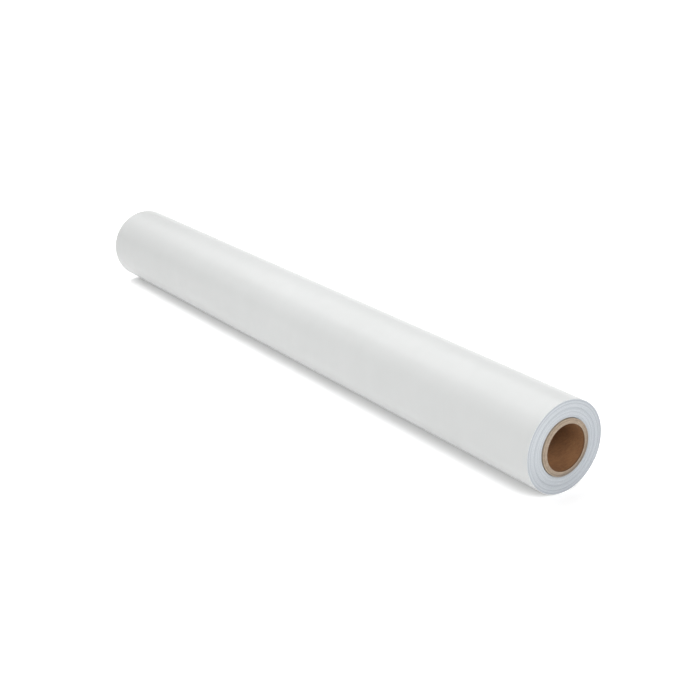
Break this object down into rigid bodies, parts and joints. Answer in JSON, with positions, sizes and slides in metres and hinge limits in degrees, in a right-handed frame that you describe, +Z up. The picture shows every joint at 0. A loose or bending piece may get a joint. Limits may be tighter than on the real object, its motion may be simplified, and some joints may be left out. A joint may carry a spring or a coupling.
{
  "type": "roll of sign vinyl",
  "caption": "Roll of white self-adhesive sign vinyl on its release liner, wound on a paper core that stands proud at both ends, with a taped tail that unrolls.",
  "frame": {"origin": "centre of the core's bore, halfway along the roll", "axes": "+X along the core, towards the end with the film's trimmed edge nearest the viewer; +Z up; the roll lies on a floor, with the tail's edge on its +Y side"},
  "size_m": [1.3784, 0.1525, 0.152],
  "materials": {
    "core_lining": "matte",
    "core_board": "matte",
    "core_cover": "matte",
    "start_tape": "satin",
    "wound_web": "satin",
    "liner": "satin",
    "film": "satin",
    "paper_tape": "matte"
  },
  "bodies": {
    "roll": {"core_lining_ply": "core_lining", "core_board_plies": "core_board", "core_cover_ply": "core_cover", "start_tape": "start_tape", "wound_turns": "wound_web", "outer_turn_liner": "liner", "outer_turn_film": "film"},
    "tail_1": {"tail_liner_1": "liner", "tail_film_1": "film"},
    "tail_2": {"tail_liner_2": "liner", "tail_film_2": "film"},
    "tail_3": {"tail_liner_3": "liner", "tail_film_3": "film"},
    "tail_4": {"tail_liner_4": "liner", "tail_film_4": "film"},
    "tail_5": {"tail_liner_5": "liner", "tail_film_5": "film"},
    "tail_6": {"tail_liner_6": "liner", "tail_film_6": "film"},
    "tail_7": {"tail_liner_7": "liner", "tail_film_7": "film"},
    "tail_8": {"tail_liner_8": "liner", "tail_film_8": "film", "tape_tab_1": "paper_tape", "tape_tab_2": "paper_tape", "tape_tab_3": "paper_tape"}
  },
  "joints": [
    {"name": "tail_unroll", "type": "hinge", "parent": "roll", "child": "tail_1", "pos_m": [0, 0.04919, 0.05852], "axis": [1, 0, 0], "range_deg": [0, 10]},
    {"name": "tail_unroll_2", "type": "hinge", "parent": "tail_1", "child": "tail_2", "pos_m": [0, 0.05861, 0.0491], "axis": [1, 0, 0], "range_deg": [0, 10]},
    {"name": "tail_unroll_3", "type": "hinge", "parent": "tail_2", "child": "tail_3", "pos_m": [0, 0.06625, 0.03819], "axis": [1, 0, 0], "range_deg": [0, 10]},
    {"name": "tail_unroll_4", "type": "hinge", "parent": "tail_3", "child": "tail_4", "pos_m": [0, 0.07188, 0.02611], "axis": [1, 0, 0], "range_deg": [0, 10]},
    {"name": "tail_unroll_5", "type": "hinge", "parent": "tail_4", "child": "tail_5", "pos_m": [0, 0.07533, 0.01324], "axis": [1, 0, 0], "range_deg": [0, 10]},
    {"name": "tail_unroll_6", "type": "hinge", "parent": "tail_5", "child": "tail_6", "pos_m": [0, 0.07649, -0.00003], "axis": [1, 0, 0], "range_deg": [0, 10]},
    {"name": "tail_unroll_7", "type": "hinge", "parent": "tail_6", "child": "tail_7", "pos_m": [0, 0.07533, -0.0133], "axis": [1, 0, 0], "range_deg": [0, 10]},
    {"name": "tail_unroll_8", "type": "hinge", "parent": "tail_7", "child": "tail_8", "pos_m": [0, 0.07188, -0.02617], "axis": [1, 0, 0], "range_deg": [0, 10]}
  ],
  "couplings": [
    {"joint": "tail_unroll_2", "follows": "tail_unroll", "ratio": 1},
    {"joint": "tail_unroll_3", "follows": "tail_unroll", "ratio": 1},
    {"joint": "tail_unroll_4", "follows": "tail_unroll", "ratio": 1},
    {"joint": "tail_unroll_5", "follows": "tail_unroll", "ratio": 1},
    {"joint": "tail_unroll_6", "follows": "tail_unroll", "ratio": 1},
    {"joint": "tail_unroll_7", "follows": "tail_unroll", "ratio": 1},
    {"joint": "tail_unroll_8", "follows": "tail_unroll", "ratio": 1}
  ]
}
